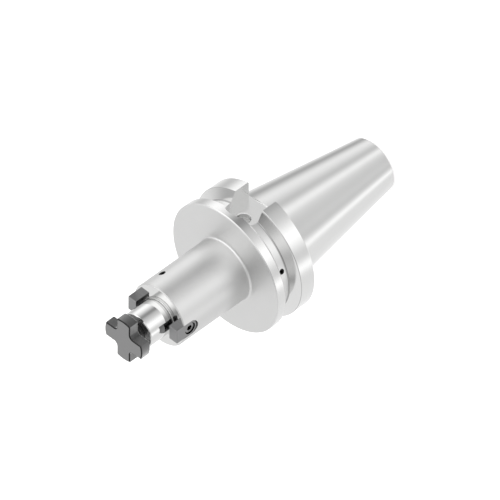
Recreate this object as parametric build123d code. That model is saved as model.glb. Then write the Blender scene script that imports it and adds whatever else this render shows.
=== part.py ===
from build123d import *
import os
from math import radians, tan

# Shell mill arbor with a 7/24 taper. Millimetres. The spindle axis is Z, with the cutter at +Z.
# The origin is the centre of the taper's gauge circle. The drive keys lie on X and the drive
# slots on Y.

# Taper
GAUGE_DIAMETER = 69.85
TAPER_RATIO = 7 / 24
TAPER_LENGTH = 101.8
TAPER_END_CHAMFER = 1.2
TAPER_RELIEF_WIDTH = 1.6
TAPER_RELIEF_DEPTH = 0.5

# Flange, with a V groove for the tool changer's gripper
FLANGE_DIAMETER = 100.0
FLANGE_BACK_Z = 3.0
FLANGE_THICKNESS = 35.0
FLANGE_CHAMFER = 0.7
GROOVE_CENTER_Z = 23.2
GROOVE_WIDTH = 15.0
GROOVE_DEPTH = 7.5
GROOVE_HALF_ANGLE = 30.0
GROOVE_ROOT_FILLET = 0.8
GROOVE_EDGE_BREAK = 0.2

# Drive slots, closed at the front by a full radius
SLOT_WIDTH = 25.7
SLOT_DEPTH = 14.6
SLOT_END_CENTER = 18.0
CHIP_POCKET_DIAMETER = 10.0
CHIP_POCKET_DEPTH = 4.6
CHIP_POCKET_CHAMFER = 0.5

# Body, bearing face and pilot
BEARING_Z = 100.0
BEARING_WIDTH = 10.5
BODY_CHAMFER = 0.6
BODY_ROOT_FILLET = 1.5
PILOT_DIAMETER = 27.0
PILOT_LENGTH = 20.6
PILOT_CHAMFER = 0.6
RELIEF_LENGTH = 2.5
RELIEF_DEPTH = 0.3
RELIEF_FACE_WIDTH = 1.1
RELIEF_FACE_DEPTH = 0.25
RELIEF_RADIUS = 0.5

# Drive keys and their pockets
KEY_WIDTH = 12.0
KEY_PROJECTION = 6.3
KEY_TAIL = 12.0
KEY_PILOT_GAP = 2.2
KEY_BELOW_BODY = 0.8
KEY_CHAMFER = 0.25
KEY_SIDE_CLEARANCE = 0.03
KEY_TAIL_CLEARANCE = 0.7

# Key screws, socket head, M5
KEY_SCREW_DIAMETER = 5.0
KEY_SCREW_HEAD_DIAMETER = 8.5
KEY_SCREW_HEX = 4.0
KEY_SCREW_HEX_DEPTH = 2.6
KEY_SCREW_HEAD_RECESS = 0.8
KEY_SCREW_HEAD_CHAMFER = 0.4
KEY_SCREW_TIP_CHAMFER = 0.6
KEY_SEAT_WALL = 2.0
KEY_SCREW_TIP_GAP = 1.0
KEY_SCREW_BORE_WALL = 2.9
HEAD_CLEARANCE = 0.35
SHANK_CLEARANCE = 0.25

# Cutter clamp screw, M12, with a cross-shaped head
CLAMP_DIAMETER = 12.0
CLAMP_LENGTH = 26.0
CLAMP_TIP_CHAMFER = 1.2
CLAMP_HEAD_DIAMETER = 35.0
CLAMP_HEAD_THICKNESS = 8.0
CLAMP_ARM_WIDTH = 12.0
CLAMP_NOTCH_RADIUS = 3.0
CLAMP_FRONT_CHAMFER = 0.6
CLAMP_REAR_CHAMFER = 0.3
CLAMP_STAND_OFF = 5.4
CLAMP_BORE_RUNOUT = 5.1
CLAMP_BORE_CHAMFER = 1.0

# Bores behind the clamp screw and at the back
THREAD_CLEARANCE = 0.05
COOLANT_DIAMETER = 8.0
STUD_PILOT_DIAMETER = 25.0
STUD_PILOT_DEPTH = 8.0
STUD_PILOT_CHAMFER = 1.0
STUD_CORE_DIAMETER = 20.75
STUD_BORE_DEPTH = 45.0

# Plug screws that close the two cross-drilled coolant holes, M4 and M5 at their pitch diameters
GROOVE_PLUG_DIAMETER = 3.55
GROOVE_PLUG_LENGTH = 5.0
GROOVE_PLUG_HEX = 2.0
GROOVE_PLUG_ANGLE = 21.2
GROOVE_PLUG_OFFSET = 0.8
BODY_PLUG_DIAMETER = 4.5
BODY_PLUG_LENGTH = 6.0
BODY_PLUG_HEX = 2.5
BODY_PLUG_ANGLE = 120.0
BODY_PLUG_OFFSET = 4.3
PLUG_RECESS = 0.4
PLUG_HEX_DEPTH = 2.0
PLUG_CORE_RATIO = 0.82
PLUG_BORE_RUNOUT = 1.0

# How far a cutting solid runs past the surface that it opens
OVERRUN = 2.0

# Radii and heights that follow from the sizes above
GAUGE_RADIUS = GAUGE_DIAMETER / 2
TAPER_END_Z = -TAPER_LENGTH
FLANGE_RADIUS = FLANGE_DIAMETER / 2
FLANGE_FRONT_Z = FLANGE_BACK_Z + FLANGE_THICKNESS
GROOVE_BOTTOM_RADIUS = FLANGE_RADIUS - GROOVE_DEPTH
SLOT_FLOOR_RADIUS = FLANGE_RADIUS - SLOT_DEPTH
SLOT_END_Z = FLANGE_BACK_Z + SLOT_END_CENTER
PILOT_RADIUS = PILOT_DIAMETER / 2
PILOT_END_Z = BEARING_Z + PILOT_LENGTH
BODY_RADIUS = PILOT_RADIUS + BEARING_WIDTH
KEY_INNER_RADIUS = PILOT_RADIUS + KEY_PILOT_GAP
KEY_OUTER_RADIUS = BODY_RADIUS - KEY_BELOW_BODY
KEY_SCREW_Z = BEARING_Z - KEY_TAIL + KEY_WIDTH / 2
KEY_SEAT_RADIUS = KEY_INNER_RADIUS + KEY_SEAT_WALL
CLAMP_BORE_RADIUS = CLAMP_DIAMETER / 2 + THREAD_CLEARANCE
CLAMP_BORE_END_Z = PILOT_END_Z - CLAMP_LENGTH - CLAMP_BORE_RUNOUT
KEY_SCREW_BORE_RADIUS = CLAMP_BORE_RADIUS + KEY_SCREW_BORE_WALL
KEY_SCREW_TIP_RADIUS = KEY_SCREW_BORE_RADIUS + KEY_SCREW_TIP_GAP
CLAMP_HEAD_Z = PILOT_END_Z + CLAMP_STAND_OFF
BODY_PLUG_Z = CLAMP_BORE_END_Z - BODY_PLUG_OFFSET
GROOVE_PLUG_Z = GROOVE_CENTER_Z + GROOVE_PLUG_OFFSET
COOLANT_RADIUS = COOLANT_DIAMETER / 2


def taper_radius(z):
    return GAUGE_RADIUS + z * TAPER_RATIO / 2


def turned(points):
    """A solid of revolution about Z from its outline as (radius, z) points."""
    outline = Polyline(*[(r, 0, z) for r, z in points], close=True)
    return revolve(make_face(outline), Axis.Z)


def ring(solid, radius, z):
    """The round edge of a turned solid with this radius, at this height."""
    return solid.edges().filter_by(GeomType.CIRCLE).filter_by(
        lambda e: abs(e.radius - radius) < 1e-4 and abs(e.center().Z - z) < 1e-4)


def rod(radius, z0, z1):
    """A round bar on the Z axis between two heights."""
    return Pos(0, 0, z0) * Cylinder(radius, z1 - z0, align=(Align.CENTER, Align.CENTER, Align.MIN))


def countersink(radius, depth, z):
    """A 45 degree cone that opens a bore of this radius upwards at a height."""
    cone = Cone(radius, radius + depth + OVERRUN, depth + OVERRUN,
                align=(Align.CENTER, Align.CENTER, Align.MIN))
    return Pos(0, 0, z - depth) * cone


def radial(solid, angle, z):
    """Lay a solid that stands on Z along a radius, at an angle from X and at a height."""
    return Pos(0, 0, z) * Rot(0, 0, angle) * Rot(0, 90, 0) * solid


def hexagon_prism(across_flats, z0, z1):
    """A hexagonal bar on the Z axis between two heights."""
    sketch = RegularPolygon(across_flats / 2, 6, major_radius=False)
    return Pos(0, 0, z0) * extrude(sketch, z1 - z0)


def body_blank():
    """The turned and ground shape of the arbor, with no milling or drilling."""
    relief_z = FLANGE_BACK_Z - TAPER_RELIEF_WIDTH
    relief_radius = taper_radius(relief_z) - TAPER_RELIEF_DEPTH
    flank = GROOVE_DEPTH * tan(radians(GROOVE_HALF_ANGLE))
    groove_back = GROOVE_CENTER_Z - GROOVE_WIDTH / 2
    groove_front = GROOVE_CENTER_Z + GROOVE_WIDTH / 2
    break_run = GROOVE_EDGE_BREAK * tan(radians(GROOVE_HALF_ANGLE))
    chamfered_z = TAPER_END_Z + TAPER_END_CHAMFER
    relief_floor_z = BEARING_Z - RELIEF_FACE_DEPTH
    relief_neck = PILOT_RADIUS - RELIEF_DEPTH
    relief_top = BEARING_Z + RELIEF_LENGTH
    blank = turned([
        (0, TAPER_END_Z),
        (taper_radius(chamfered_z) - TAPER_END_CHAMFER, TAPER_END_Z),
        (taper_radius(chamfered_z), chamfered_z),
        (taper_radius(relief_z), relief_z),
        (relief_radius, relief_z + TAPER_RELIEF_DEPTH),
        (relief_radius, FLANGE_BACK_Z),
        (FLANGE_RADIUS - FLANGE_CHAMFER, FLANGE_BACK_Z),
        (FLANGE_RADIUS, FLANGE_BACK_Z + FLANGE_CHAMFER),
        (FLANGE_RADIUS, groove_back - GROOVE_EDGE_BREAK),
        (FLANGE_RADIUS - GROOVE_EDGE_BREAK, groove_back + break_run),
        (GROOVE_BOTTOM_RADIUS, groove_back + flank),
        (GROOVE_BOTTOM_RADIUS, groove_front - flank),
        (FLANGE_RADIUS - GROOVE_EDGE_BREAK, groove_front - break_run),
        (FLANGE_RADIUS, groove_front + GROOVE_EDGE_BREAK),
        (FLANGE_RADIUS, FLANGE_FRONT_Z - FLANGE_CHAMFER),
        (FLANGE_RADIUS - FLANGE_CHAMFER, FLANGE_FRONT_Z),
        (BODY_RADIUS, FLANGE_FRONT_Z),
        (BODY_RADIUS, BEARING_Z - BODY_CHAMFER),
        (BODY_RADIUS - BODY_CHAMFER, BEARING_Z),
        (PILOT_RADIUS + RELIEF_FACE_WIDTH, BEARING_Z),
        (PILOT_RADIUS + RELIEF_FACE_WIDTH - RELIEF_FACE_DEPTH, relief_floor_z),
        (relief_neck, relief_floor_z),
        (relief_neck, relief_top - RELIEF_DEPTH),
        (PILOT_RADIUS, relief_top),
        (PILOT_RADIUS, PILOT_END_Z - PILOT_CHAMFER),
        (PILOT_RADIUS - PILOT_CHAMFER, PILOT_END_Z),
        (0, PILOT_END_Z),
    ])
    for root_z in (groove_back + flank, groove_front - flank):
        blank = fillet(ring(blank, GROOVE_BOTTOM_RADIUS, root_z), GROOVE_ROOT_FILLET)
    blank = fillet(ring(blank, BODY_RADIUS, FLANGE_FRONT_Z), BODY_ROOT_FILLET)
    return fillet(ring(blank, relief_neck, relief_floor_z), RELIEF_RADIUS)


def drive_slot():
    """The cut of one drive slot, towards +Y: open at the back, with a full radius at its front."""
    height = SLOT_DEPTH + OVERRUN
    back_z = FLANGE_BACK_Z - TAPER_RELIEF_WIDTH / 2
    run = Pos(0, SLOT_FLOOR_RADIUS, back_z) * Box(
        SLOT_WIDTH, height, SLOT_END_Z - back_z, align=(Align.CENTER, Align.MIN, Align.MIN))
    end = Cylinder(SLOT_WIDTH / 2, height, align=(Align.CENTER, Align.CENTER, Align.MIN))
    return run + Pos(0, SLOT_FLOOR_RADIUS, SLOT_END_Z) * Rot(-90, 0, 0) * end


def chip_pocket():
    """The round pocket for a data chip in the floor of the +Y drive slot."""
    depth_radius = SLOT_FLOOR_RADIUS - CHIP_POCKET_DEPTH
    radius = CHIP_POCKET_DIAMETER / 2
    pocket = rod(radius, depth_radius, SLOT_FLOOR_RADIUS + OVERRUN)
    pocket += countersink(radius, CHIP_POCKET_CHAMFER, SLOT_FLOOR_RADIUS)
    return radial(pocket, 90, SLOT_END_Z)


def key_block(width, tail, projection, inner, outer):
    """A block towards +X between two radii, square at its front and round at its tail."""
    half = width / 2
    run = tail - half + projection
    outline = Circle(half) + Rectangle(run, width, align=(Align.MAX, Align.CENTER))
    block = Pos(0, 0, inner) * extrude(outline, outer - inner)
    return radial(block, 0, BEARING_Z - tail + half)


def key_pocket():
    """The pocket towards +X that one key lies in, with the tapped bore for its screw."""
    width = KEY_WIDTH + 2 * KEY_SIDE_CLEARANCE
    tail = KEY_TAIL + KEY_TAIL_CLEARANCE
    pocket = key_block(width, tail, OVERRUN, KEY_INNER_RADIUS, BODY_RADIUS + OVERRUN)
    bore = rod(KEY_SCREW_DIAMETER / 2 + THREAD_CLEARANCE, KEY_SCREW_BORE_RADIUS, BODY_RADIUS)
    return pocket + radial(bore, 0, KEY_SCREW_Z)


def cross_bore(diameter, length, surface, angle, z):
    """A radial coolant hole into the centre bore, tapped at its mouth for a plug screw."""
    tapped = rod(diameter / 2 + THREAD_CLEARANCE,
                 surface - PLUG_RECESS - length - PLUG_BORE_RUNOUT, surface + OVERRUN)
    core = rod(diameter / 2 * PLUG_CORE_RATIO, 0, surface)
    return radial(tapped + core, angle, z)


def centre_bores():
    """The clamp screw's bore, the coolant bore and the pull stud's bore, all on the axis."""
    clamp = rod(CLAMP_BORE_RADIUS, CLAMP_BORE_END_Z, PILOT_END_Z + OVERRUN)
    clamp += countersink(CLAMP_BORE_RADIUS, CLAMP_BORE_CHAMFER, PILOT_END_Z)
    coolant = rod(COOLANT_RADIUS, TAPER_END_Z, CLAMP_BORE_END_Z)
    stud = rod(STUD_CORE_DIAMETER / 2, TAPER_END_Z, TAPER_END_Z + STUD_BORE_DEPTH)
    stud += rod(STUD_PILOT_DIAMETER / 2, TAPER_END_Z - OVERRUN, TAPER_END_Z + STUD_PILOT_DEPTH)
    mouth = countersink(STUD_PILOT_DIAMETER / 2, STUD_PILOT_CHAMFER, -TAPER_END_Z)
    return clamp + coolant + stud + Rot(180, 0, 0) * mouth


def arbor_body():
    """The one-piece arbor: taper, flange, body and pilot with every slot, pocket and bore."""
    slot = drive_slot()
    pocket = key_pocket()
    body = body_blank() - slot - Rot(0, 0, 180) * slot - chip_pocket()
    body -= pocket
    body -= Rot(0, 0, 180) * pocket
    body -= cross_bore(GROOVE_PLUG_DIAMETER, GROOVE_PLUG_LENGTH, GROOVE_BOTTOM_RADIUS,
                       GROOVE_PLUG_ANGLE, GROOVE_PLUG_Z)
    body -= cross_bore(BODY_PLUG_DIAMETER, BODY_PLUG_LENGTH, BODY_RADIUS,
                       BODY_PLUG_ANGLE, BODY_PLUG_Z)
    return body - centre_bores()


def drive_key():
    """One driving key towards +X, with the counterbore for its screw."""
    key = key_block(KEY_WIDTH, KEY_TAIL, KEY_PROJECTION, KEY_INNER_RADIUS, KEY_OUTER_RADIUS)
    rims = key.edges().group_by(Axis.X)[-1] + key.faces().sort_by(Axis.Z)[-1].edges()
    key = chamfer(ShapeList(set(rims)), KEY_CHAMFER)
    shank = rod(KEY_SCREW_DIAMETER / 2 + SHANK_CLEARANCE, 0, KEY_OUTER_RADIUS)
    counterbore = rod(KEY_SCREW_HEAD_DIAMETER / 2 + HEAD_CLEARANCE,
                      KEY_SEAT_RADIUS, KEY_OUTER_RADIUS + OVERRUN)
    return key - radial(shank + counterbore, 0, KEY_SCREW_Z)


def key_screw():
    """One socket head screw towards +X, seated in its key."""
    top = KEY_OUTER_RADIUS - KEY_SCREW_HEAD_RECESS
    head_radius = KEY_SCREW_HEAD_DIAMETER / 2
    radius = KEY_SCREW_DIAMETER / 2
    screw = turned([
        (0, KEY_SCREW_TIP_RADIUS),
        (radius - KEY_SCREW_TIP_CHAMFER, KEY_SCREW_TIP_RADIUS),
        (radius, KEY_SCREW_TIP_RADIUS + KEY_SCREW_TIP_CHAMFER),
        (radius, KEY_SEAT_RADIUS),
        (head_radius, KEY_SEAT_RADIUS),
        (head_radius, top - KEY_SCREW_HEAD_CHAMFER),
        (head_radius - KEY_SCREW_HEAD_CHAMFER, top),
        (0, top),
    ])
    screw -= hexagon_prism(KEY_SCREW_HEX, top - KEY_SCREW_HEX_DEPTH, top + OVERRUN)
    return radial(screw, 0, KEY_SCREW_Z)


def plug_screw(diameter, length, hex_size, surface, angle, z):
    """A socket set screw in the tapped mouth of a radial hole."""
    top = surface - PLUG_RECESS
    screw = rod(diameter / 2, top - length, top)
    screw -= hexagon_prism(hex_size, top - PLUG_HEX_DEPTH, top + OVERRUN)
    return radial(screw, angle, z)


def clamp_head():
    """The cross-shaped head: a disc cut down to four arms with rounded corners between them."""
    cross = Rectangle(CLAMP_HEAD_DIAMETER, CLAMP_ARM_WIDTH)
    cross += Rectangle(CLAMP_ARM_WIDTH, CLAMP_HEAD_DIAMETER)
    inner = cross.vertices().sort_by(lambda v: abs(v.X) + abs(v.Y))[:4]
    cross = fillet(inner, CLAMP_NOTCH_RADIUS) & Circle(CLAMP_HEAD_DIAMETER / 2)
    head = Pos(0, 0, CLAMP_HEAD_Z) * extrude(cross, CLAMP_HEAD_THICKNESS)
    head = chamfer(head.faces().sort_by(Axis.Z)[-1].edges(), CLAMP_FRONT_CHAMFER)
    return chamfer(head.faces().sort_by(Axis.Z)[0].edges(), CLAMP_REAR_CHAMFER)


def clamp_screw():
    """The cutter clamp screw, standing off the pilot's end by its gap."""
    radius = CLAMP_DIAMETER / 2
    tip = CLAMP_HEAD_Z - CLAMP_LENGTH
    shank = turned([
        (0, tip),
        (radius - CLAMP_TIP_CHAMFER, tip),
        (radius, tip + CLAMP_TIP_CHAMFER),
        (radius, CLAMP_HEAD_Z),
        (0, CLAMP_HEAD_Z),
    ])
    return clamp_head() + shank


def both_sides(piece):
    """The piece and its copy turned half a turn about the axis."""
    return [piece, Rot(0, 0, 180) * piece]


key_a, key_b = both_sides(drive_key())
nodes = {
    "arbor_body": arbor_body(),
    "drive_key_a": key_a,
    "drive_key_b": key_b,
    "key_screws": Compound(children=both_sides(key_screw())),
    "clamp_screw": clamp_screw(),
    "groove_plug_screw": plug_screw(GROOVE_PLUG_DIAMETER, GROOVE_PLUG_LENGTH, GROOVE_PLUG_HEX,
                                    GROOVE_BOTTOM_RADIUS, GROOVE_PLUG_ANGLE, GROOVE_PLUG_Z),
    "body_plug_screw": plug_screw(BODY_PLUG_DIAMETER, BODY_PLUG_LENGTH, BODY_PLUG_HEX,
                                  BODY_RADIUS, BODY_PLUG_ANGLE, BODY_PLUG_Z),
}

os.makedirs("parts", exist_ok=True)
for name, shape in nodes.items():
    export_step(shape, f"parts/{name}.step")
    print(name, len(shape.solids()), round(shape.volume, 2))
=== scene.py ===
"""Shell mill arbor: its steel finishes, its threaded clamp screw, the studio and the camera.

Lengths are in metres, in the part's own frame: +Z runs along the spindle axis towards the
cutter, +X through one drive key and +Y through the drive slot with the chip pocket.
"""

import logging
import math
from dataclasses import dataclass, field
from enum import Enum, IntEnum
from functools import partial, reduce
from typing import Optional, Union

import bmesh
import bpy
from mathutils import Matrix, Vector


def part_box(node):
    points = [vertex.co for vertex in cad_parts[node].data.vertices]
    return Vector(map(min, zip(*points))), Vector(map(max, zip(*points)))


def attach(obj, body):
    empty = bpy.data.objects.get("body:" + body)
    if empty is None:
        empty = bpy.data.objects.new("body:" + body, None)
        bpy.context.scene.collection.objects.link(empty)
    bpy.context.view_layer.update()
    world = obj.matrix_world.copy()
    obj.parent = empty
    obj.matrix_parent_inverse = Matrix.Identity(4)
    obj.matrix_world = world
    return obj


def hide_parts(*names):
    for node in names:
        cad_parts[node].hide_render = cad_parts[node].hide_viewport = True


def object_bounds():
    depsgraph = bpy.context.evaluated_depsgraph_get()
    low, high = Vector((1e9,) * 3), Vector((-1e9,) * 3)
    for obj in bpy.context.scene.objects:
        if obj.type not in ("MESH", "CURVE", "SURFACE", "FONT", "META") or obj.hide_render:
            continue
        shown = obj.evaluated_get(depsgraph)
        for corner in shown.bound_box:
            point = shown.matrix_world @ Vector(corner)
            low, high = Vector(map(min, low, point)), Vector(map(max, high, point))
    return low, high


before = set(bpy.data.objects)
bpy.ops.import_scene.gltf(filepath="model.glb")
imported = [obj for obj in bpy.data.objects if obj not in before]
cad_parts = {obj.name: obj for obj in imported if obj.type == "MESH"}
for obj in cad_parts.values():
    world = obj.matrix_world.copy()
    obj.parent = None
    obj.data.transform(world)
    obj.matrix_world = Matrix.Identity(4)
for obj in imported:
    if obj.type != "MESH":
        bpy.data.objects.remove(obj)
CAD_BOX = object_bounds()

MM = 0.001
WHITE = (1.0, 1.0, 1.0, 1.0)
# Heights or angles that differ by less than this are the same.
TOLERANCE = 1e-9
# How softly a zone of the bright steel ends, to either side of its edge.
ZONE_EDGE = 0.02 * MM
# The value that a noise sways round.
NOISE_MIDDLE = 0.5
# How far the tool marks' noise runs in a turn of one radian, how much of a point's radius it
# counts as height, and the least radius that it divides by.
MARK_TURN = 1.6 * MM
MARK_LEAN = 0.35
LEAST_RADIUS = 0.1 * MM

Socket = bpy.types.NodeSocket
Source = Union[float, tuple, Socket]
Colour = tuple[float, float, float]
Span = tuple[float, float]

log = logging.getLogger("shell_mill_arbor")


class Slot(Enum):
    """The record's material slots."""

    GROUND_STEEL = "ground_steel"
    BLACK_STEEL = "black_steel"


class Body(Enum):
    """The two bodies that the pieces ride on."""

    ARBOR = "arbor"
    SCREW = "screw"


class Skin(IntEnum):
    """The clamp screw's two steels, in the order of its mesh's materials."""

    WORN = 0
    BLACK = 1


def compass(azimuth: float) -> tuple[Vector, Vector]:
    """Returns the level directions at an azimuth in degrees, and a quarter turn past it."""
    turn = math.radians(azimuth)
    return Vector((math.cos(turn), math.sin(turn), 0)), Vector((-math.sin(turn), math.cos(turn), 0))


@dataclass(frozen=True)
class Noise:
    """A cloudy texture: how fine it is, in waves a metre, how detailed and how rugged."""

    scale: float
    detail: float
    roughness: float = 0.5


class Graph:
    """A node tree with short methods for the nodes that the finishes and the studio use."""

    def __init__(self, tree: bpy.types.NodeTree) -> None:
        """Empties a material's or the world's node tree and keeps it."""
        self.tree = tree
        self.tree.nodes.clear()

    def add(self, kind: str, inputs: dict, **settings: object) -> bpy.types.Node:
        """Adds a node.

        Args:
            kind: The node's Blender type.
            inputs: A value or a source socket for each named or numbered input.
            settings: The node's own properties.

        Returns:
            The new node.
        """
        node = self.tree.nodes.new(kind)
        for name, value in settings.items():
            setattr(node, name, value)
        for key, value in inputs.items():
            if isinstance(value, Socket):
                self.tree.links.new(value, node.inputs[key])
            else:
                node.inputs[key].default_value = value
        return node

    def math(self, operation: str, *values: Source) -> Socket:
        """Returns the result of a Math node on one to three values."""
        return self.add("ShaderNodeMath", dict(enumerate(values)), operation=operation).outputs[0]

    def total(self, *values: Source) -> Socket:
        """Returns the sum of two or more values."""
        return reduce(partial(self.math, "ADD"), values)

    def product(self, *values: Source) -> Socket:
        """Returns the product of two or more values."""
        return reduce(partial(self.math, "MULTIPLY"), values)

    def length(self, a: Source, b: Source) -> Socket:
        """Returns the length of the diagonal over two sides."""
        return self.math("SQRT", self.total(self.product(a, a), self.product(b, b)))

    def dot(self, vector: Source, direction: Vector) -> Socket:
        """Returns the dot product of a vector with a fixed direction."""
        inputs = {0: vector, 1: tuple(direction)}
        return self.add("ShaderNodeVectorMath", inputs, operation="DOT_PRODUCT").outputs["Value"]

    def step(self, value: Source, start: float, end: float) -> Socket:
        """Maps a value smoothly to a share.

        Args:
            value: What is mapped.
            start: The value that gives 0.
            end: The value that gives 1; it may be the smaller one.

        Returns:
            The share, which is 0 before start and 1 past end.
        """
        falls = end < start
        inputs = {"Value": value, "From Min": min(start, end), "From Max": max(start, end),
                  "To Min": float(falls), "To Max": float(not falls)}
        node = self.add("ShaderNodeMapRange", inputs, interpolation_type="SMOOTHSTEP")
        return node.outputs["Result"]

    def between(self, value: Source, ends: Span) -> Socket:
        """Marks where a length lies between two ends.

        Args:
            value: The length.
            ends: The ends, the lower one first.

        Returns:
            1 between the ends, and 0 outside them.
        """
        low, high = ends
        return self.product(
            self.step(value, low - ZONE_EDGE, low + ZONE_EDGE),
            self.step(value, high + ZONE_EDGE, high - ZONE_EDGE))

    def mix(self, factor: Source, a: Source, b: Source) -> Socket:
        """Returns a number between a and b by a factor."""
        return self.add("ShaderNodeMix", {0: factor, 2: a, 3: b}, data_type="FLOAT").outputs[0]

    def vector(self, x: Source, y: Source, z: Source) -> Socket:
        """Returns a vector of three values."""
        return self.add("ShaderNodeCombineXYZ", {"X": x, "Y": y, "Z": z}).outputs[0]

    def noise(self, vector: Source, kind: Noise) -> Socket:
        """Returns a noise round its middle value at a place."""
        inputs = {"Vector": vector, "Scale": kind.scale, "Detail": kind.detail,
                  "Roughness": kind.roughness}
        return self.add("ShaderNodeTexNoise", inputs).outputs[0]

    def sway(self, noise: Source, amount: float) -> Socket:
        """Returns what a noise adds or takes away, as a share of an amount."""
        return self.product(self.math("SUBTRACT", noise, NOISE_MIDDLE), amount)

    def grey(self, value: Source, tint: Colour) -> Socket:
        """Returns a tint multiplied by a brightness."""
        channels = {index: self.math("MULTIPLY", value, share) for index, share in enumerate(tint)}
        return self.add("ShaderNodeCombineColor", channels).outputs[0]

    def bump(self, height: Source, distance: float, strength: float) -> Socket:
        """Returns the normal of a surface that stands up by height times distance."""
        inputs = {"Height": height, "Distance": distance, "Strength": strength}
        return self.add("ShaderNodeBump", inputs).outputs[0]


@dataclass(frozen=True)
class Place:
    """Where a point lies on a turned part, as sockets.

    Around is the coordinate that tool marks follow: it runs slowly round the axis and fast
    along it, and leans outwards, so that flat faces have marks too.
    """

    point: Socket
    x: Socket
    y: Socket
    z: Socket
    radius: Socket
    around: Socket

    @classmethod
    def on(cls, graph: Graph) -> "Place":
        """Reads the place from the object's own coordinates.

        Args:
            graph: The material's graph.

        Returns:
            The place's sockets.
        """
        point = graph.add("ShaderNodeTexCoord", {}).outputs["Object"]
        split = graph.add("ShaderNodeSeparateXYZ", {"Vector": point}).outputs
        x, y, z = split["X"], split["Y"], split["Z"]
        radius = graph.length(x, y)
        along = graph.math("MULTIPLY_ADD", radius, MARK_LEAN, z)
        safe = graph.math("MAXIMUM", radius, LEAST_RADIUS)
        around = graph.vector(
            graph.product(graph.math("DIVIDE", x, safe), MARK_TURN),
            graph.product(graph.math("DIVIDE", y, safe), MARK_TURN), along)
        return cls(point, x, y, z, radius, around)


@dataclass(frozen=True)
class Band:
    """A band round the body, between two heights and two radii, with a roughness or shade of its own.

    Shade is the share of the steel's brightness that it has: below 1 it is painted shade, above 1
    painted light. Where it has a roughness, that replaces the roughness of the zone round it.
    """

    heights: Span
    radii: Span
    shade: float = 1.0
    roughness: Optional[float] = None

    def zone(self, graph: Graph, place: Place) -> Socket:
        """Returns 1 on the band, and 0 elsewhere."""
        return graph.product(
            graph.between(place.z, self.heights), graph.between(place.radius, self.radii))


@dataclass(frozen=True)
class RadialHole:
    """A plug's hole that runs in towards the axis, with painted shade in and round it.

    The azimuth is in degrees from +X. The radius is that of the painted dark patch round the hole.
    """

    azimuth: float
    height: float
    radius: float
    edge: float = 0.15 * MM

    def zone(self, graph: Graph, place: Place) -> Socket:
        """Marks the hole and its edge.

        Args:
            graph: The material's graph.
            place: Where the point lies.

        Returns:
            1 in and round the hole, and 0 elsewhere.
        """
        outwards, aside = compass(self.azimuth)
        rise = graph.math("SUBTRACT", place.z, self.height)
        gap = graph.length(graph.dot(place.point, aside), rise)
        return graph.product(
            graph.step(gap, self.radius + self.edge, self.radius - self.edge),
            graph.step(graph.dot(place.point, outwards), 0.0, self.edge))


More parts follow.
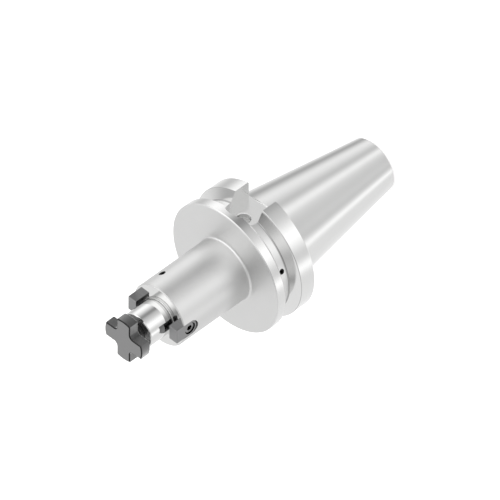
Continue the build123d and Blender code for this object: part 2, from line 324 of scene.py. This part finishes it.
@dataclass(frozen=True)
class BrightSteel:
    """Bare steel in the states of work that the arbor's zones have, from lapped to milled.

    Marks are the fine lines that a tool leaves, passes are the wider streaks that they lie in,
    and cloud is the slight unevenness of the whole surface. The chip pocket, the plug holes and
    most bands also carry painted shade or painted light in the brightness.
    """

    tint: Colour = (1.0, 1.0, 0.995)
    brightness: float = 0.68
    satin_brightness: float = 0.65
    taper_end: float = 1.5 * MM
    satin_heights: Span = (37.6 * MM, 99.8 * MM)
    taper_roughness: float = 0.13
    flange_roughness: float = 0.11
    satin_roughness: float = 0.4
    pilot_roughness: float = 0.06
    milled_roughness: float = 0.2
    slot_half_width: float = 12.9 * MM
    slot_depths: Span = (35.2 * MM, 35.3 * MM)
    slot_end: float = 35.0 * MM
    flange_radius: float = 49.7 * MM
    pocket_height: float = 21.0 * MM
    pocket_radius: float = 5.55 * MM
    pocket_mouth: float = 35.38 * MM
    # Painted shade in the chip pocket, which is also rougher.
    pocket_painted_shade: float = 0.95
    pocket_roughness: float = 0.4
    # Painted highlight: the relief behind the flange is made 1.2 times as bright, and rougher.
    relief_painted_highlight: Band = Band((1.3 * MM, 2.9 * MM), (0.0, 35.25 * MM), 1.2, 0.45)
    # Painted shade: the groove's rear rim edge is darkened to tone down its bright reflection.
    rear_rim_edge_painted_shade: Band = Band((15.55 * MM, 15.85 * MM), (49.75 * MM, 50.1 * MM), 0.55)
    groove_floor: Band = Band((20.02 * MM, 26.38 * MM), (38.0 * MM, 42.8 * MM), roughness=0.3)
    # Painted shade: the crease at the groove's rear root is darkened to about half.
    groove_rear_root_painted_shade: Band = Band((19.75 * MM, 20.85 * MM), (42.4 * MM, 42.95 * MM), 0.52)
    # Painted light: the groove's front root is lightened a little against a dark reflection, and made
    # rougher.
    groove_front_root_painted_light: Band = Band((25.8 * MM, 26.7 * MM), (42.4 * MM, 42.95 * MM), 1.1, 0.5)
    # Painted shade: the bearing face's outer chamfer is darkened a little against a bright
    # reflection, and made rougher.
    front_edge_painted_shade: Band = Band((99.3 * MM, 100.1 * MM), (23.35 * MM, 24.1 * MM), 0.9, 0.5)
    # Painted shade: the undercut at the pilot's root is darkened.
    undercut_painted_shade: Band = Band((99.8 * MM, 102.5 * MM), (0.0, 13.45 * MM), 0.78)
    # The plug holes, painted dark in and round them as painted shade.
    plug_holes: tuple[RadialHole, ...] = (
        RadialHole(21.5, 24.05 * MM, 2.05 * MM),
        RadialHole(120.5, 85.2 * MM, 2.45 * MM),
    )
    plug_hole_painted_shade: float = 0.03
    marks: Noise = Noise(1 / (0.16 * MM), 3.0, 0.6)
    mark_shade: float = 0.02
    mark_depth: float = 0.0006 * MM
    mark_strength: float = 1.0
    passes: Noise = Noise(1 / (3.2 * MM), 2.0)
    pass_roughness: float = 0.05
    cloud: Noise = Noise(60.0, 3.0)
    cloud_shade: float = 0.03
    cloud_roughness: float = 0.04

    def material(self) -> bpy.types.Material:
        """Makes the material for the arbor's body.

        Returns:
            The material.
        """
        material = new_material("bright_steel")
        graph = Graph(material.node_tree)
        place = Place.on(graph)
        satin = graph.between(place.z, self.satin_heights)
        marks = graph.noise(place.around, self.marks)
        passes = graph.noise(place.around, self.passes)
        cloud = graph.noise(place.point, self.cloud)
        roughness = self.worked_roughness(graph, place, satin)
        shade = graph.total(
            graph.mix(satin, self.brightness, self.satin_brightness),
            graph.sway(cloud, self.cloud_shade), graph.sway(marks, self.mark_shade))
        pocket = self.pocket_zone(graph, place)
        roughness = graph.mix(pocket, roughness, self.pocket_roughness)
        # Painted shade: the chip pocket is darkened a little.
        shade = graph.product(shade, graph.mix(pocket, 1.0, self.pocket_painted_shade))
        # Most bands paint shade or light into the brightness; some also set the roughness.
        for band in self.bands():
            zone = band.zone(graph, place)
            shade = graph.product(shade, graph.mix(zone, 1.0, band.shade))
            if band.roughness is not None:
                roughness = graph.mix(zone, roughness, band.roughness)
        # Painted shade: the plug holes and a patch round them are darkened nearly to black.
        for hole in self.plug_holes:
            zone = hole.zone(graph, place)
            shade = graph.product(shade, graph.mix(zone, 1.0, self.plug_hole_painted_shade))
        finish(graph, {
            "Base Color": graph.grey(shade, self.tint),
            "Metallic": 1.0,
            "Roughness": graph.total(roughness, graph.sway(passes, self.pass_roughness),
                                     graph.sway(cloud, self.cloud_roughness)),
            "Normal": graph.bump(marks, self.mark_depth, self.mark_strength),
        })
        return material

    def bands(self) -> tuple[Band, ...]:
        """Returns the bands with their own roughness, painted shade or painted light."""
        return (self.relief_painted_highlight, self.rear_rim_edge_painted_shade, self.groove_floor, self.groove_rear_root_painted_shade,
                self.groove_front_root_painted_light, self.front_edge_painted_shade, self.undercut_painted_shade)

    def worked_roughness(self, graph: Graph, place: Place, satin: Socket) -> Socket:
        """Sets the roughness by the way that each length of the body is worked.

        Args:
            graph: The material's graph.
            place: Where the point lies.
            satin: 1 on the satin length between the flange and the bearing face.

        Returns:
            The roughness of the taper, flange, satin length, pilot and drive slots.
        """
        front = self.satin_heights[1]
        pilot = graph.step(place.z, front - ZONE_EDGE, front + ZONE_EDGE)
        taper = graph.step(place.z, self.taper_end + ZONE_EDGE, self.taper_end - ZONE_EDGE)
        roughness = graph.mix(taper, self.flange_roughness, self.taper_roughness)
        roughness = graph.mix(satin, roughness, self.satin_roughness)
        roughness = graph.mix(pilot, roughness, self.pilot_roughness)
        return graph.mix(self.milled_zone(graph, place), roughness, self.milled_roughness)

    def pocket_zone(self, graph: Graph, place: Place) -> Socket:
        """Marks the chip pocket in the +Y slot's floor.

        Args:
            graph: The material's graph.
            place: Where the point lies.

        Returns:
            1 in the pocket, and 0 elsewhere.
        """
        gap = graph.length(place.x, graph.math("SUBTRACT", place.z, self.pocket_height))
        return graph.product(
            graph.step(gap, self.pocket_radius + ZONE_EDGE, self.pocket_radius),
            graph.step(place.y, 0.0, ZONE_EDGE),
            graph.step(place.y, self.pocket_mouth + ZONE_EDGE / 2, self.pocket_mouth - ZONE_EDGE / 2))

    def milled_zone(self, graph: Graph, place: Place) -> Socket:
        """Marks the walls and floors of the drive slots.

        Args:
            graph: The material's graph.
            place: Where the point lies.

        Returns:
            1 in the slots, and 0 elsewhere.
        """
        across = graph.math("ABSOLUTE", place.x)
        depth = graph.math("ABSOLUTE", place.y)
        return graph.product(
            graph.step(across, self.slot_half_width + ZONE_EDGE, self.slot_half_width),
            graph.step(depth, *self.slot_depths),
            graph.step(place.z, self.slot_end + ZONE_EDGE, self.slot_end),
            graph.step(place.radius, self.flange_radius + ZONE_EDGE, self.flange_radius))


@dataclass(frozen=True)
class BlackSteel:
    """Steel with a black oxide skin, a little rubbed through to bare metal."""

    name: str
    tint: Colour = (0.99, 0.99, 1.0)
    brightness: float = 0.03
    roughness: float = 0.24
    sheen: float = 1.0
    sheen_roughness: float = 0.52
    blotches: Noise = Noise(320.0, 4.0, 0.6)
    blotch_shade: float = 0.02
    blotch_roughness: float = 0.12
    grain: Noise = Noise(6000.0, 2.0)
    grain_depth: float = 0.004 * MM
    grain_strength: float = 0.5

    def material(self) -> bpy.types.Material:
        """Makes a material for the screws or the keys.

        Returns:
            The material.
        """
        material = new_material(self.name)
        graph = Graph(material.node_tree)
        place = Place.on(graph)
        blotches = graph.noise(place.point, self.blotches)
        grain = graph.noise(place.point, self.grain)
        shade = graph.total(self.brightness, graph.sway(blotches, self.blotch_shade))
        # Subclasses paint light and shade into the brightness here.
        shade = graph.product(shade, self.light(graph, place))
        finish(graph, {
            "Base Color": graph.grey(shade, self.tint),
            "Metallic": 1.0,
            "Roughness": graph.total(self.roughness, graph.sway(blotches, self.blotch_roughness)),
            "Sheen Weight": self.sheen,
            "Sheen Roughness": self.sheen_roughness,
            "Normal": graph.bump(grain, self.grain_depth, self.grain_strength),
        })
        return material

    def light(self, graph: Graph, place: Place) -> Source:
        """Returns the share of the skin's brightness that is left at a place; subclasses paint shade
        here.
        """
        return 1.0


@dataclass(frozen=True)
class KeySteel(BlackSteel):
    """The keys' black steel, with painted light: lighter on the outer and front faces, darker on
    the sides, and with painted shade inside and in the screws' holes.

    A reach is a distance from the axis along X. The shares are of the outer face's brightness.
    """

    outer_reach: float = 23.05 * MM
    inner_reach: float = 15.8 * MM
    front_height: float = 106.15 * MM
    hole_height: float = 94.0 * MM
    hole_radius: float = 4.65 * MM
    depth: float = 0.1 * MM
    side_painted_shade: float = 0.61
    inner_painted_shade: float = 0.32
    hole_painted_shade: float = 0.05

    def light(self, graph: Graph, place: Place) -> Source:
        """Paints light and shade over a key's sides.

        Args:
            graph: The material's graph.
            place: Where the point lies.

        Returns:
            1 on the outer and front faces, and less, as painted shade, on the sides, inside and in
            the hole.
        """
        reach = graph.math("ABSOLUTE", place.x)
        gap = graph.length(place.y, graph.math("SUBTRACT", place.z, self.hole_height))
        outer = graph.step(reach, self.outer_reach, self.outer_reach + self.depth)
        front = graph.step(place.z, self.front_height, self.front_height + self.depth)
        inner = graph.step(reach, self.inner_reach + self.depth, self.inner_reach)
        hole = graph.product(
            graph.step(gap, self.hole_radius + self.depth, self.hole_radius),
            graph.step(reach, self.outer_reach + self.depth, self.outer_reach))
        # Painted light: the outer and front faces keep the whole brightness, the rest gets painted
        # shade.
        painted_lit_faces = graph.math("MAXIMUM", outer, front)
        share = graph.mix(painted_lit_faces, graph.mix(inner, self.side_painted_shade, self.inner_painted_shade), 1.0)
        return graph.mix(hole, share, self.hole_painted_shade)


@dataclass(frozen=True)
class KeyScrewSteel(BlackSteel):
    """The key screws' black steel, painted nearly black round the heads and in their sockets, as
    painted shade.

    The painted shade is the share of the brightness that is left there.
    """

    axis_height: float = 94.0 * MM
    face_radius: float = 3.75 * MM
    face_reach: float = 22.4 * MM
    depth: float = 0.1 * MM
    rim_and_socket_painted_shade: float = 0.06

    def light(self, graph: Graph, place: Place) -> Source:
        """Paints shade over a screw's head.

        Args:
            graph: The material's graph.
            place: Where the point lies.

        Returns:
            1 on the head's flat face, and less, as painted shade, on its side and in its socket.
        """
        gap = graph.length(place.y, graph.math("SUBTRACT", place.z, self.axis_height))
        reach = graph.math("ABSOLUTE", place.x)
        face = graph.product(
            graph.step(gap, self.face_radius + self.depth, self.face_radius),
            graph.step(reach, self.face_reach - self.depth, self.face_reach - self.depth / 2))
        # Painted shade: all but the head's flat face is darkened nearly to black.
        return graph.mix(face, self.rim_and_socket_painted_shade, 1.0)


@dataclass(frozen=True)
class FloorPaint:
    """Matt white paint for the studio's floor, which is lit a little from below."""

    brightness: float = 0.94
    roughness: float = 0.9
    glow: float = 0.32

    def material(self) -> bpy.types.Material:
        """Makes the floor's material.

        Returns:
            The material.
        """
        material = new_material("floor_paint")
        finish(Graph(material.node_tree), {
            "Base Color": (self.brightness, self.brightness, self.brightness, 1.0),
            "Roughness": self.roughness,
            "Specular IOR Level": 0.0,
            "Emission Color": WHITE,
            "Emission Strength": self.glow,
        })
        return material


def new_material(name: str) -> bpy.types.Material:
    """Makes a material that uses nodes.

    Args:
        name: The material's name.

    Returns:
        The material, with Blender's first nodes.
    """
    material = bpy.data.materials.new(name)
    material.use_nodes = True
    return material


def finish(graph: Graph, inputs: dict) -> None:
    """Ends a material's graph in a shader with the given inputs, by name."""
    shader = graph.add("ShaderNodeBsdfPrincipled", inputs)
    graph.add("ShaderNodeOutputMaterial", {"Surface": shader.outputs[0]})


def dress(node: str, material: bpy.types.Material) -> None:
    """Gives a node of the part its material.

    Args:
        node: The node's name.
        material: The material for all its slots.
    """
    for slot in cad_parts[node].material_slots:
        slot.material = material
    log.info("%s wears %s", node, material.name)


@dataclass
class ArborBody:
    """The turned, ground and milled body, one piece from the taper to the pilot."""

    node: str = "arbor_body"
    steel: BrightSteel = BrightSteel()

    def build(self) -> None:
        """Dresses the body."""
        dress(self.node, self.steel.material())


@dataclass
class KeysAndPlugs:
    """The two drive keys with their screws, and the plug screws in the radial holes."""

    keys: tuple[str, ...] = ("drive_key_a", "drive_key_b")
    key_screws: tuple[str, ...] = ("key_screws",)
    plugs: tuple[str, ...] = ("groove_plug_screw", "body_plug_screw")
    key_steel: BlackSteel = KeySteel("key_steel", brightness=0.27, roughness=0.35, sheen=0.0)
    screw_steel: BlackSteel = KeyScrewSteel(
        "key_screw_steel", brightness=0.28, roughness=0.35, sheen=0.0)
    plug_steel: BlackSteel = BlackSteel("plug_steel", brightness=0.02, roughness=0.4, sheen=0.0)

    def build(self) -> None:
        """Dresses the keys, their screws and the plugs."""
        groups = ((self.keys, self.key_steel), (self.key_screws, self.screw_steel),
                  (self.plugs, self.plug_steel))
        for nodes, steel in groups:
            material = steel.material()
            for node in nodes:
                dress(node, material)


@dataclass
class ClampScrew:
    """The clamp screw: a cross-shaped head, a neck and an M12 thread, in one closed mesh.

    The head's outline is a list of points by angle. Every ring of the mesh has one vertex for
    each of them, so the head, the neck and the thread's turns join vertex to vertex. The edge
    bands are the front chamfer's, in black steel. The last five fields are taken from the plain
    solid that the screw stands for.
    """

    node: str = "clamp_screw"
    head_thickness: float = 8.0 * MM
    arm_width: float = 12.0 * MM
    notch_radius: float = 3.0 * MM
    front_chamfer: float = 0.6 * MM
    rear_chamfer: float = 0.3 * MM
    edge_break: float = 0.1 * MM
    thread_radius: float = 6.0 * MM
    pitch: float = 1.75 * MM
    thread_depth: float = 1.07 * MM
    crest_share: float = 0.125
    root_share: float = 0.167
    runout_slope: float = 0.9
    neck_length: float = 0.9 * MM
    tip_chamfer: float = 1.2 * MM
    arm_steps: int = 12
    flank_steps: int = 3
    notch_steps: int = 10
    edge_bands: int = 3
    sharp_degrees: float = 20.0
    steel: BlackSteel = BlackSteel("clamp_screw_steel")
    edge_steel: BlackSteel = BlackSteel("clamp_screw_edge", sheen=0.0)
    tip_z: float = field(init=False)
    neck_z: float = field(init=False)
    rear_z: float = field(init=False)
    front_z: float = field(init=False)
    head_radius: float = field(init=False)

    def __post_init__(self) -> None:
        """Takes the heights and the head's reach from the plain solid."""
        low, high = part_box(self.node)
        self.tip_z, self.front_z = low.z, high.z
        self.head_radius = high.x
        self.rear_z = self.front_z - self.head_thickness
        self.neck_z = self.rear_z - self.neck_length

    def build(self) -> bpy.types.Object:
        """Builds the screw in place of its plain solid.

        Returns:
            The screw's object.
        """
        mesh = bmesh.new()
        tip, neck = self.add_thread(mesh)
        rings = [neck] + [self.add_ring(mesh, z, inset) for z, inset in self.head_rings()]
        bands = list(zip(rings, rings[1:]))
        worn_bands = len(bands) - self.edge_bands
        for index, (lower, upper) in enumerate(bands):
            join_rings(mesh, lower, upper, Skin.WORN if index < worn_bands else Skin.BLACK)
        cap_ring(mesh, rings[-1])
        cap_ring(mesh, tip)
        bmesh.ops.recalc_face_normals(mesh, faces=mesh.faces)
        screw = new_object("clamp_screw_threaded", mesh, self.sharp_degrees)
        for steel in (self.steel, self.edge_steel):
            screw.data.materials.append(steel.material())
        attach(screw, Body.SCREW.value)
        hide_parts(self.node)
        log.info("%s has %d faces", screw.name, len(screw.data.polygons))
        return screw

    def outline(self, inset: float) -> list[Vector]:
        """Draws the head's outline.

        Args:
            inset: How far inside the head's own outline it runs.

        Returns:
            Its points by rising angle, from the first corner of the +X arm on.
        """
        half = self.arm_width / 2 - inset
        reach = self.head_radius - inset
        bend = self.notch_radius + inset
        centre = self.arm_width / 2 + self.notch_radius
        tip_angle = math.asin(half / reach)
        corner = reach * math.cos(tip_angle)
        quarter = []
        for step in range(self.arm_steps):
            angle = tip_angle * (2 * step / self.arm_steps - 1)
            quarter.append(Vector((reach * math.cos(angle), reach * math.sin(angle), 0)))
        for step in range(self.flank_steps):
            share = step / self.flank_steps
            quarter.append(Vector((corner + (centre - corner) * share, half, 0)))
        for step in range(self.notch_steps):
            angle = -math.pi / 2 * (1 + step / self.notch_steps)
            quarter.append(Vector((centre + bend * math.cos(angle),
                                   centre + bend * math.sin(angle), 0)))
        for step in range(self.flank_steps):
            share = step / self.flank_steps
            quarter.append(Vector((half, centre + (corner - centre) * share, 0)))
        turns = [Matrix.Rotation(math.pi / 2 * turn, 3, "Z") for turn in range(4)]
        return [turn @ point for turn in turns for point in quarter]

    def head_rings(self) -> list[tuple[float, float]]:
        """Lists the head's rings, with the edges of both chamfers broken.

        Returns:
            The rings' heights and insets, from the rear to the front.
        """
        drop = self.edge_break
        slant = drop * math.sqrt(0.5)
        rear, front = self.rear_chamfer, self.front_chamfer
        return [
            (self.rear_z, rear + drop),
            (self.rear_z + slant, rear - slant),
            (self.rear_z + rear - slant, slant),
            (self.rear_z + rear + drop, 0),
            (self.front_z - front - drop, 0),
            (self.front_z - front + slant, slant),
            (self.front_z - slant, front - slant),
            (self.front_z, front + drop),
        ]

    def angles(self) -> list[float]:
        """Lists the angles of one turn's vertices.

        Returns:
            The angles, rising from below zero.
        """
        angles = [math.atan2(point.y, point.x) for point in self.outline(0)]
        first = angles[0] - TOLERANCE
        return [angle if angle >= first else angle + 2 * math.pi for angle in angles]

    def thread_profile(self) -> list[tuple[float, float]]:
        """Draws one pitch of the thread, from root to root.

        Returns:
            Its points, as shares of the pitch and of the thread's depth.
        """
        root, crest = self.root_share / 2, 0.5 - self.crest_share / 2
        rise = [(root, 0.0), ((root + crest) / 2, 0.5), (crest, 1.0)]
        fall = [(1 - along, depth) for along, depth in reversed(rise)]
        return [(0.0, 0.0), *rise, *fall, (1.0, 0.0)]

    def limit(self, z: float) -> float:
        """Finds how thick the thread may be, by the tip's chamfer and the runout.

        Args:
            z: The height.

        Returns:
            The largest radius there.
        """
        core = self.thread_radius - self.thread_depth
        start = self.thread_radius - self.tip_chamfer
        return min(start + (z - self.tip_z), core + (self.neck_z - z) * self.runout_slope)

    def add_thread(self, mesh: bmesh.types.BMesh) -> tuple[list, list]:
        """Adds the thread's turns, cut off square at the tip and at the neck.

        Args:
            mesh: The screw's mesh.

        Returns:
            The vertices of the tip's ring and of the neck's upper ring, by rising angle.
        """
        angles = self.angles()
        profile = self.thread_profile()
        turns = math.ceil((self.neck_z - self.tip_z) / self.pitch) + 1
        base = self.tip_z - self.pitch
        core = self.thread_radius - self.thread_depth
        tip = self.add_circle(mesh, angles, self.tip_z, self.limit(self.tip_z))
        neck = self.add_circle(mesh, angles, self.neck_z, core)
        columns = []
        for column in range(turns * len(angles) + 1):
            turn, index = divmod(column, len(angles))
            angle = angles[index]
            lift = base + self.pitch * (turn + (angle - angles[0]) / (2 * math.pi))
            rows = []
            for place, (share, height) in enumerate(profile):
                z = lift + share * self.pitch
                if z <= self.tip_z + TOLERANCE:
                    rows.append(tip[index])
                elif z >= self.neck_z - TOLERANCE:
                    rows.append(neck[index])
                elif place == 0 and column >= len(angles):
                    rows.append(columns[column - len(angles)][-1])
                else:
                    radius = min(core + height * self.thread_depth, self.limit(z))
                    rows.append(mesh.verts.new((radius * math.cos(angle),
                                                radius * math.sin(angle), z)))
            columns.append(rows)
        for left, right in zip(columns, columns[1:]):
            for row in range(len(profile) - 1):
                add_face(mesh, [left[row], right[row], right[row + 1], left[row + 1]], Skin.WORN)
        top = self.add_circle(mesh, angles, self.rear_z, core)
        join_rings(mesh, neck, top, Skin.BLACK)
        return tip, top

    def add_ring(self, mesh: bmesh.types.BMesh, z: float, inset: float) -> list:
        """Returns the vertices of one new ring of the head."""
        return [mesh.verts.new((point.x, point.y, z)) for point in self.outline(inset)]

    def add_circle(self, mesh: bmesh.types.BMesh, angles: list[float], z: float,
                   radius: float) -> list:
        """Returns the vertices of a new circle at the given angles."""
        return [mesh.verts.new((radius * math.cos(angle), radius * math.sin(angle), z))
                for angle in angles]


def add_face(mesh: bmesh.types.BMesh, corners: list, skin: Skin) -> None:
    """Adds a face of the corners that differ, if there are three or more.

    Args:
        mesh: The screw's mesh.
        corners: The face's vertices in order.
        skin: The steel that the face shows.
    """
    distinct = list(dict.fromkeys(corners))
    if len(distinct) > 2 and mesh.faces.get(distinct) is None:
        mesh.faces.new(distinct).material_index = skin.value


def join_rings(mesh: bmesh.types.BMesh, lower: list, upper: list, skin: Skin) -> None:
    """Adds the faces between two rings with as many vertices each.

    Args:
        mesh: The screw's mesh.
        lower: The lower ring's vertices.
        upper: The upper ring's vertices.
        skin: The steel that the faces show.
    """
    for index in range(len(lower)):
        following = (index + 1) % len(lower)
        add_face(mesh, [lower[index], lower[following], upper[following], upper[index]], skin)


def cap_ring(mesh: bmesh.types.BMesh, ring: list) -> None:
    """Closes a ring with triangles from a vertex on the axis.

    Args:
        mesh: The screw's mesh.
        ring: The ring's vertices.
    """
    centre = mesh.verts.new((0, 0, ring[0].co.z))
    for index, vertex in enumerate(ring):
        mesh.faces.new([vertex, ring[(index + 1) % len(ring)], centre])


def new_object(name: str, mesh: bmesh.types.BMesh, sharp_degrees: float = 30.0) -> bpy.types.Object:
    """Makes an object of a mesh, smooth but for its sharp edges.

    Args:
        name: The object's name.
        mesh: Its mesh, which is freed.
        sharp_degrees: The angle between faces from which an edge is sharp.

    Returns:
        The object, in the scene.
    """
    data = bpy.data.meshes.new(name)
    mesh.to_mesh(data)
    mesh.free()
    data.shade_smooth()
    data.set_sharp_from_angle(angle=math.radians(sharp_degrees))
    item = bpy.data.objects.new(name, data)
    bpy.context.scene.collection.objects.link(item)
    return item


class Fall(Enum):
    """How a panel's light falls off: the power of the distance from its middle."""

    SOFT = 2.0
    CRISP = 4.0


@dataclass(frozen=True)
class Panel:
    """A soft light or a dark flag that stands round the part, far away.

    The angles are in degrees: where its middle is, round the axis from +X and above the
    horizon, and how far its light reaches either way. Gain is how much it adds.
    """

    azimuth: float
    elevation: float
    width: float
    height: float
    gain: float
    fall: Fall = Fall.SOFT

    def light(self, graph: Graph, direction: Socket, elevation: Socket) -> Socket:
        """Finds what the panel adds to the light from a direction.

        Args:
            graph: The world's graph.
            direction: The direction that light comes from.
            elevation: Its height above the horizon, in radians.

        Returns:
            The light that the panel adds, or takes away.
        """
        ahead, aside = compass(self.azimuth)
        swing = graph.math("ARCTAN2", graph.dot(direction, aside), graph.dot(direction, ahead))
        rise = graph.math("SUBTRACT", elevation, math.radians(self.elevation))
        powers = []
        for angle, reach in ((swing, self.width), (rise, self.height)):
            share = graph.math("ABSOLUTE", graph.math("DIVIDE", angle, math.radians(reach)))
            powers.append(graph.math("POWER", share, self.fall.value))
        fall = graph.math("EXPONENT", graph.math("MULTIPLY", graph.total(*powers), -1.0))
        return graph.product(fall, self.gain)


@dataclass
class Studio:
    """The pale floor, the light round the part and the camera at the photograph's angle.

    The camera's angles are in degrees: round the axis from +X, above the horizon, and its roll.
    It has no perspective, and aims at a point near the gauge line.
    """

    floor_size: float = 8.0
    paint: FloorPaint = FloorPaint()
    ambient: float = 1.05
    darkest: float = 0.08
    panels: tuple[Panel, ...] = (
        Panel(344, -36, 9.5, 8, 0.85),
        Panel(5, -52, 13, 42, -0.19),
        Panel(37.5, -34, 19, 43, 0.55),
        Panel(94, -24.5, 24, 25, -1.0),
        Panel(87, -60, 16, 45, 0.74),
        Panel(163, -18, 26, 29, 1.0),
        Panel(176, -50, 24, 45, -1.0),
        Panel(37, -53, 21, 12, -1.0),
        Panel(101, 30, 56, 21, 0.97, Fall.CRISP),
        Panel(190, 45, 22, 22, -0.5),
        Panel(5, 42, 34, 28, -0.6),
        Panel(320, -14, 12, 9, -0.45),
    )
    overhead_power: float = 3.0
    overhead_size: float = 1.2
    overhead_height: float = 1.0
    azimuth: float = 55.12
    elevation: float = 29.65
    roll: float = -125.3
    view_width: float = 0.33357
    aim: tuple[float, float, float] = (-0.19 * MM, 0.69 * MM, 14.46 * MM)
    distance: float = 1.0

    def build(self) -> None:
        """Builds the floor, the light and the camera."""
        self.add_floor()
        self.add_surround()
        self.add_overhead()
        self.add_camera()
        bpy.context.scene.view_settings.view_transform = "Standard"

    def add_floor(self) -> None:
        """Lays the floor under the taper's end, where no reflection shows it."""
        mesh = bmesh.new()
        bmesh.ops.create_grid(mesh, x_segments=1, y_segments=1, size=self.floor_size / 2)
        floor = new_object("studio_floor", mesh)
        floor.location.z = CAD_BOX[0].z
        floor.data.materials.append(self.paint.material())
        floor.visible_glossy = False

    def add_overhead(self) -> None:
        """Hangs a soft box over the part that lights the floor and shows in no reflection."""
        data = bpy.data.lights.new("overhead_softbox", "AREA")
        data.shape = "SQUARE"
        data.size = self.overhead_size
        data.energy = self.overhead_power
        lamp = bpy.data.objects.new("overhead_softbox", data)
        lamp.location.z = self.overhead_height
        lamp.visible_camera = False
        lamp.visible_glossy = False
        bpy.context.scene.collection.objects.link(lamp)

    def add_surround(self) -> None:
        """Lights the part with a pale surround in which soft panels stand."""
        world = bpy.data.worlds.new("studio_light")
        world.use_nodes = True
        bpy.context.scene.world = world
        graph = Graph(world.node_tree)
        seen = graph.add("ShaderNodeTexCoord", {}).outputs["Generated"]
        direction = graph.add(
            "ShaderNodeVectorMath", {0: seen}, operation="NORMALIZE").outputs[0]
        elevation = graph.math("ARCSINE", graph.dot(direction, Vector((0, 0, 1))))
        lights = [panel.light(graph, direction, elevation) for panel in self.panels]
        strength = graph.math("MAXIMUM", graph.total(self.ambient, *lights), self.darkest)
        light = graph.add("ShaderNodeBackground", {"Color": WHITE, "Strength": strength})
        graph.add("ShaderNodeOutputWorld", {"Surface": light.outputs[0]})

    def add_camera(self) -> None:
        """Sets the camera where the photograph was taken from, without perspective."""
        turn, rise = math.radians(self.azimuth), math.radians(self.elevation)
        back = Vector((math.cos(turn) * math.cos(rise), math.sin(turn) * math.cos(rise),
                       math.sin(rise)))
        level = compass(self.azimuth)[1]
        roll = math.radians(self.roll)
        right = level * math.cos(roll) + back.cross(level) * math.sin(roll)
        up = back.cross(right)
        data = bpy.data.cameras.new("photograph")
        data.type = "ORTHO"
        data.ortho_scale = self.view_width
        camera = bpy.data.objects.new("photograph", data)
        turned = Matrix((right, up, back)).transposed().to_4x4()
        place = Vector(self.aim) + back * self.distance
        camera.matrix_world = Matrix.Translation(place) @ turned
        bpy.context.scene.collection.objects.link(camera)
        bpy.context.scene.camera = camera


def main() -> None:
    """Builds the sub-assemblies and the studio in order."""
    logging.basicConfig(level=logging.INFO, format="%(name)s: %(message)s")
    for assembly in (ArborBody(), KeysAndPlugs(), ClampScrew(), Studio()):
        assembly.build()
        log.info("%s is built", type(assembly).__name__)


if __name__ == "__main__":
    main()
